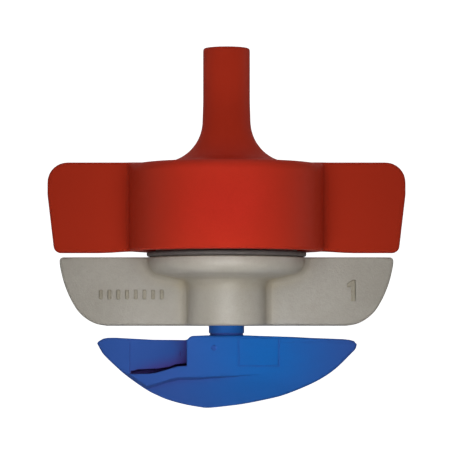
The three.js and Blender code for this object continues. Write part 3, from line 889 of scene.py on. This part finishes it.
def moulded(
    name,
    colour,
    shadow,
    roughness,
    grain_mm,
    grain_depth,
    shine=0.2,
    tint=(1, 1, 1),
    streak=1.0,
    speckle=0.1,
    recess_shade=None,
    recess_shade_share=0.8,
    recess_shade_reach=1.6,
    slit_shade=None,
    gate=None,
    far=None,
):
    """A moulded plastic: mottled colour, uneven gloss and a fine grained skin.

    The colour wanders between colour and shadow, in patches that streak stretches sideways, and
    speckle is how strongly the grain darkens it. hollow is painted shade: the deeper colour laid
    inside recesses and along inner corners, and pit is the near-black painted shade in narrow
    slits. far is painted shade too: the colour turns to it with distance from gate, the best-lit
    point, as the light falls off beyond it."""
    n = Nodes(name)
    drift = n.noise(DRIFT_MM, 2, 0.5, (streak, 1, 1))
    mottle = n.noise(MOTTLE_MM, 3, 0.6, (streak, 1, 1))
    grain = n.noise(grain_mm, 2, 0.6)
    body = n.mix(n.span(drift, 0.35, 0.65, 0.0, 0.5), colour, shadow)
    body = n.mix(n.span(mottle, 0.4, 0.68, 0.0, 0.35), body, shadow)
    body = n.mix(n.span(grain, 0.42, 0.75, 0.0, speckle), body, [0.35 * c for c in shadow])
    # painted shade: the colour turns to far with distance from gate, the best-lit point, as the
    # light falls off
    if far is not None:
        shade_share = n.span(n.distance(gate), SHADE_STARTS * MM, SHADE_FULL * MM, 0.0, 1.0)
        body = n.mix(shade_share, body, far)
    # painted shade: where an occlusion probe finds the surface sheltered, recesses and inner
    # corners take the hollow colour and narrow slits the pit colour
    if recess_shade is not None:
        shelter = n.tree.nodes.new("ShaderNodeAmbientOcclusion")
        shelter.samples = 8
        shelter.only_local = True
        shelter.inputs["Distance"].default_value = recess_shade_reach * MM
        openness = shelter.outputs["AO"]
        body = n.mix(n.span(openness, 0.45, 0.95, recess_shade_share, 0.0), body, recess_shade)
        if slit_shade is not None:
            body = n.mix(n.span(openness, 0.18, 0.42, 0.95, 0.0), body, slit_shade)
    gloss = n.span(mottle, 0.3, 0.7, roughness - 0.05, roughness + 0.06)
    waves = n.bump(drift, WAVE_DEPTH)
    n.link(body, n.shader.inputs["Base Color"])
    n.link(gloss, n.shader.inputs["Roughness"])
    n.link(n.bump(grain, grain_depth, waves), n.shader.inputs["Normal"])
    n.shader.inputs["Specular IOR Level"].default_value = shine
    n.shader.inputs["Specular Tint"].default_value = (*tint, 1)
    return n.material


red_plastic = moulded(
    "red_plastic",
    colour=srgb(168, 39, 28),
    shadow=srgb(158, 36, 24),
    roughness=0.5,
    grain_mm=0.16,
    grain_depth=0.003,
    shine=0.08,
    tint=(1, 0.12, 0.08),
    speckle=0.16,
    # painted shade: with distance from gate, the front of the barrel, the red turns a little more
    # orange, the hue of its less-lit sides
    gate=(0.0, -10.0, -21.0),
    far=srgb(169, 47, 28),
)
grey_plastic = moulded(
    "grey_plastic",
    colour=srgb(166, 161, 151),
    shadow=srgb(155, 149, 137),
    roughness=0.42,
    grain_mm=0.2,
    grain_depth=0.028,
    shine=0.6,
    speckle=0.12,
    # hollow is a warm brown painted shade in inner corners and under the bowl
    recess_shade=srgb(168, 147, 94),
    recess_shade_share=0.6,
    recess_shade_reach=2.0,
)
grey_relief = moulded(
    "grey_relief",
    colour=srgb(157, 151, 135),
    shadow=srgb(143, 136, 119),
    roughness=0.5,
    grain_mm=0.2,
    grain_depth=0.012,
    shine=0.4,
    speckle=0.35,
)
blue_plastic = moulded(
    "blue_plastic",
    colour=srgb(23, 100, 180),
    shadow=srgb(29, 94, 171),
    roughness=0.48,
    grain_mm=0.16,
    grain_depth=0.003,
    shine=0.08,
    tint=(0.15, 0.4, 1),
    streak=3.0,
    # hollow and pit are purple and near-black painted shade in the channel, its slit, the pocket
    # and the keel step
    recess_shade=srgb(92, 30, 112),
    recess_shade_share=0.6,
    recess_shade_reach=2.2,
    slit_shade=srgb(14, 2, 26),
    # painted shade: with distance from gate, at the hub, the blade turns darker and more violet
    # towards its tips
    gate=(4.5, 0.0, -40.0),
    far=srgb(53, 88, 164),
)
black_rubber = moulded(
    "black_rubber",
    colour=srgb(92, 87, 83),
    shadow=srgb(70, 62, 65),
    roughness=0.6,
    grain_mm=0.12,
    grain_depth=0.008,
    shine=0.4,
)
clear_silicone = moulded(
    "clear_silicone",
    colour=srgb(206, 203, 192),
    shadow=srgb(190, 186, 172),
    roughness=0.45,
    grain_mm=0.2,
    grain_depth=0.004,
    shine=0.4,
)
white_acetal = moulded(
    "white_acetal",
    colour=srgb(232, 229, 220),
    shadow=srgb(218, 214, 202),
    roughness=0.35,
    grain_mm=0.2,
    grain_depth=0.004,
    shine=0.4,
)

# ------------------------------------------------------------------ pieces


def add(name, node, field, step, body, slot, material, keep):
    """The finished piece that stands for one CAD node."""
    low, high = corners(node)
    piece = sculpt(name, field, low, high, step, keep)
    piece.data.materials.append(material)
    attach(piece, body)
    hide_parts(node)
    return piece


# name, CAD node, field, grid step, body, slot, material and share of triangles to keep
PIECES = [
    ("cap_shell", "inlet_cap", inlet_cap_field, 0.24, "cap", "cap_plastic", red_plastic, 0.5),
    (
        "housing_shell", "housing", housing_field, 0.22,
        "housing", "housing_plastic", grey_plastic, 0.5,
    ),
    ("blade", "rotor_blade", rotor_blade_field, 0.13, "rotor", "blade_plastic", blue_plastic, 0.6),
    (
        "spindle_shaft", "spindle", spindle_field, 0.09,
        "rotor", "spindle_plastic", blue_plastic, 0.5,
    ),
    (
        "rubber_seal", "seal_ring", seal_ring_field, 0.16,
        "housing", "seal_rubber", black_rubber, 1.0,
    ),
    (
        "silicone_diaphragm", "flow_diaphragm", flow_diaphragm_field, 0.16,
        "housing", "silicone", clear_silicone, 0.6,
    ),
    (
        "jet_nozzle", "nozzle_insert", nozzle_insert_field, 0.15,
        "housing", "nozzle_plastic", red_plastic, 0.6,
    ),
    (
        "spindle_bush", "bearing_bush", bearing_bush_field, 0.15,
        "housing", "bearing_plastic", white_acetal, 0.6,
    ),
    (
        "washer", "thrust_washer", thrust_washer_field, 0.12,
        "float", "washer_plastic", white_acetal, 1.0,
    ),
]

for piece_row in PIECES:
    add(*piece_row)


MARK_GRID_STEP = 0.06


def add_mark(name, field, centre, half_width, half_height):
    """A raised mark on the front of a housing wing."""
    low = (centre[0] - half_width, MARK_FACE - MARK_RISE, centre[1] - half_height)
    high = (centre[0] + half_width, MARK_FACE + MARK_ROOT, centre[1] + half_height)
    piece = sculpt(name, field, low, high, MARK_GRID_STEP)
    piece.data.materials.append(grey_relief)
    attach(piece, "housing")
    return piece


add_mark("numeral_one", numeral_field, (NUMERAL_X - 0.2, NUMERAL_Z), 0.7, 1.5)
for i, bar_x in enumerate(np.linspace(BAR_FIRST, BAR_LAST, BAR_COUNT)):
    add_mark(f"wing_bar_{i + 1}", bar_field(bar_x), (bar_x, BAR_Z), 0.3, 0.7)

# ------------------------------------------------------------------ studio

FLOOR_BELOW = 0.5


def studio_floor():
    """A round pale floor that curves up into a wall and a ceiling, so that every view has one
    backdrop. Its own light reaches the camera only, so the softboxes alone light the object."""
    level = cad_bounds[0][2] - FLOOR_BELOW
    flat, bend, wall, turns = 1.2, 0.8, 0.6, 96
    lower = arc(flat, bend, bend, -90, 0, 12)
    upper = arc(flat, bend + wall, bend, 0, 90, 12)
    profile = [(0.0, 0.0), *lower, *upper, (0.02, upper[-1][1])]
    vertices = [(0, 0, level)]
    for r, z in profile[1:]:
        for i in range(turns):
            a = 2 * math.pi * i / turns
            vertices.append((r * math.cos(a), r * math.sin(a), level + z))
    faces = [(0, 1 + i, 1 + (i + 1) % turns) for i in range(turns)]
    for row in range(len(profile) - 2):
        base = 1 + row * turns
        for i in range(turns):
            j = (i + 1) % turns
            faces.append((base + i, base + turns + i, base + turns + j, base + j))
    mesh = bpy.data.meshes.new("studio_floor")
    mesh.from_pydata(vertices, [], faces)
    mesh.polygons.foreach_set("use_smooth", [True] * len(faces))
    floor = bpy.data.objects.new("studio_floor", mesh)
    bpy.context.scene.collection.objects.link(floor)
    material = bpy.data.materials.new("studio_white")
    material.use_nodes = True
    shader = material.node_tree.nodes["Principled BSDF"]
    shader.inputs["Base Color"].default_value = (0.9, 0.9, 0.9, 1)
    shader.inputs["Roughness"].default_value = 0.9
    shader.inputs["Specular IOR Level"].default_value = 0.1
    shader.inputs["Emission Color"].default_value = (1, 1, 1, 1)
    shader.inputs["Emission Strength"].default_value = 0.93
    mesh.materials.append(material)
    floor.visible_diffuse = False
    floor.visible_glossy = False
    floor.visible_shadow = False


def softbox(name, place, aim, size, power):
    """A soft rectangular light at a place, turned to face its aim."""
    light = bpy.data.lights.new(name, "AREA")
    light.shape = "RECTANGLE"
    light.size, light.size_y = size
    light.energy = power
    lamp = bpy.data.objects.new(name, light)
    lamp.location = place
    lamp.rotation_euler = (Vector(aim) - Vector(place)).to_track_quat("-Z", "Y").to_euler()
    lamp.visible_camera = False
    bpy.context.scene.collection.objects.link(lamp)
    return lamp


studio_floor()
middle = Vector([(a + b) / 2 for a, b in zip(*cad_bounds)])
# small lights close in front, which brighten what stands out most, then the large ones
softbox("near_stem", (0.0, -0.036, -0.006), (0, 0, -0.006), (0.012, 0.010), 0.0018)
softbox("near_barrel", (0.0, -0.036, -0.040), (0, 0, -0.033), (0.026, 0.010), 0.0061)
softbox("near_cap", (0.0, -0.036, -0.018), (0, 0, -0.018), (0.022, 0.010), 0.0022)
softbox("left_front", (-0.25, -0.25, -0.04), middle, (0.2, 0.2), 0.055)
softbox("right_front", (0.25, -0.25, -0.04), middle, (0.2, 0.2), 0.03)
softbox("left_side", (-0.5, -0.03, 0.01), middle, (0.3, 0.3), 0.25)
softbox("right_side", (0.5, 0.06, 0.03), middle, (0.3, 0.3), 0.40)
softbox("top", (0.0, 0.0, 0.5), middle, (0.4, 0.4), 0.4)
softbox("below", (0.0, -0.12, -0.45), middle, (0.4, 0.4), 0.25)
rear = softbox("rear", (0.0, 0.5, 0.1), middle, (0.4, 0.4), 1.6)
rear.visible_glossy = False

world = bpy.data.worlds.new("studio")
world.use_nodes = True
world.node_tree.nodes["Background"].inputs["Color"].default_value = (1, 1, 1, 1)
world.node_tree.nodes["Background"].inputs["Strength"].default_value = 0.25
bpy.context.scene.world = world
bpy.context.scene.view_settings.view_transform = "Standard"

# ------------------------------------------------------------------ camera

camera_data = bpy.data.cameras.new("camera")
camera_data.lens = 231
camera_data.sensor_width = 36
camera = bpy.data.objects.new("camera", camera_data)
camera.location = (0.0, -0.38, -0.038)
target = Vector((0.00013, 0.0, -0.0234))
camera.rotation_euler = (target - camera.location).to_track_quat("-Z", "Y").to_euler()
bpy.context.scene.collection.objects.link(camera)
bpy.context.scene.camera = camera
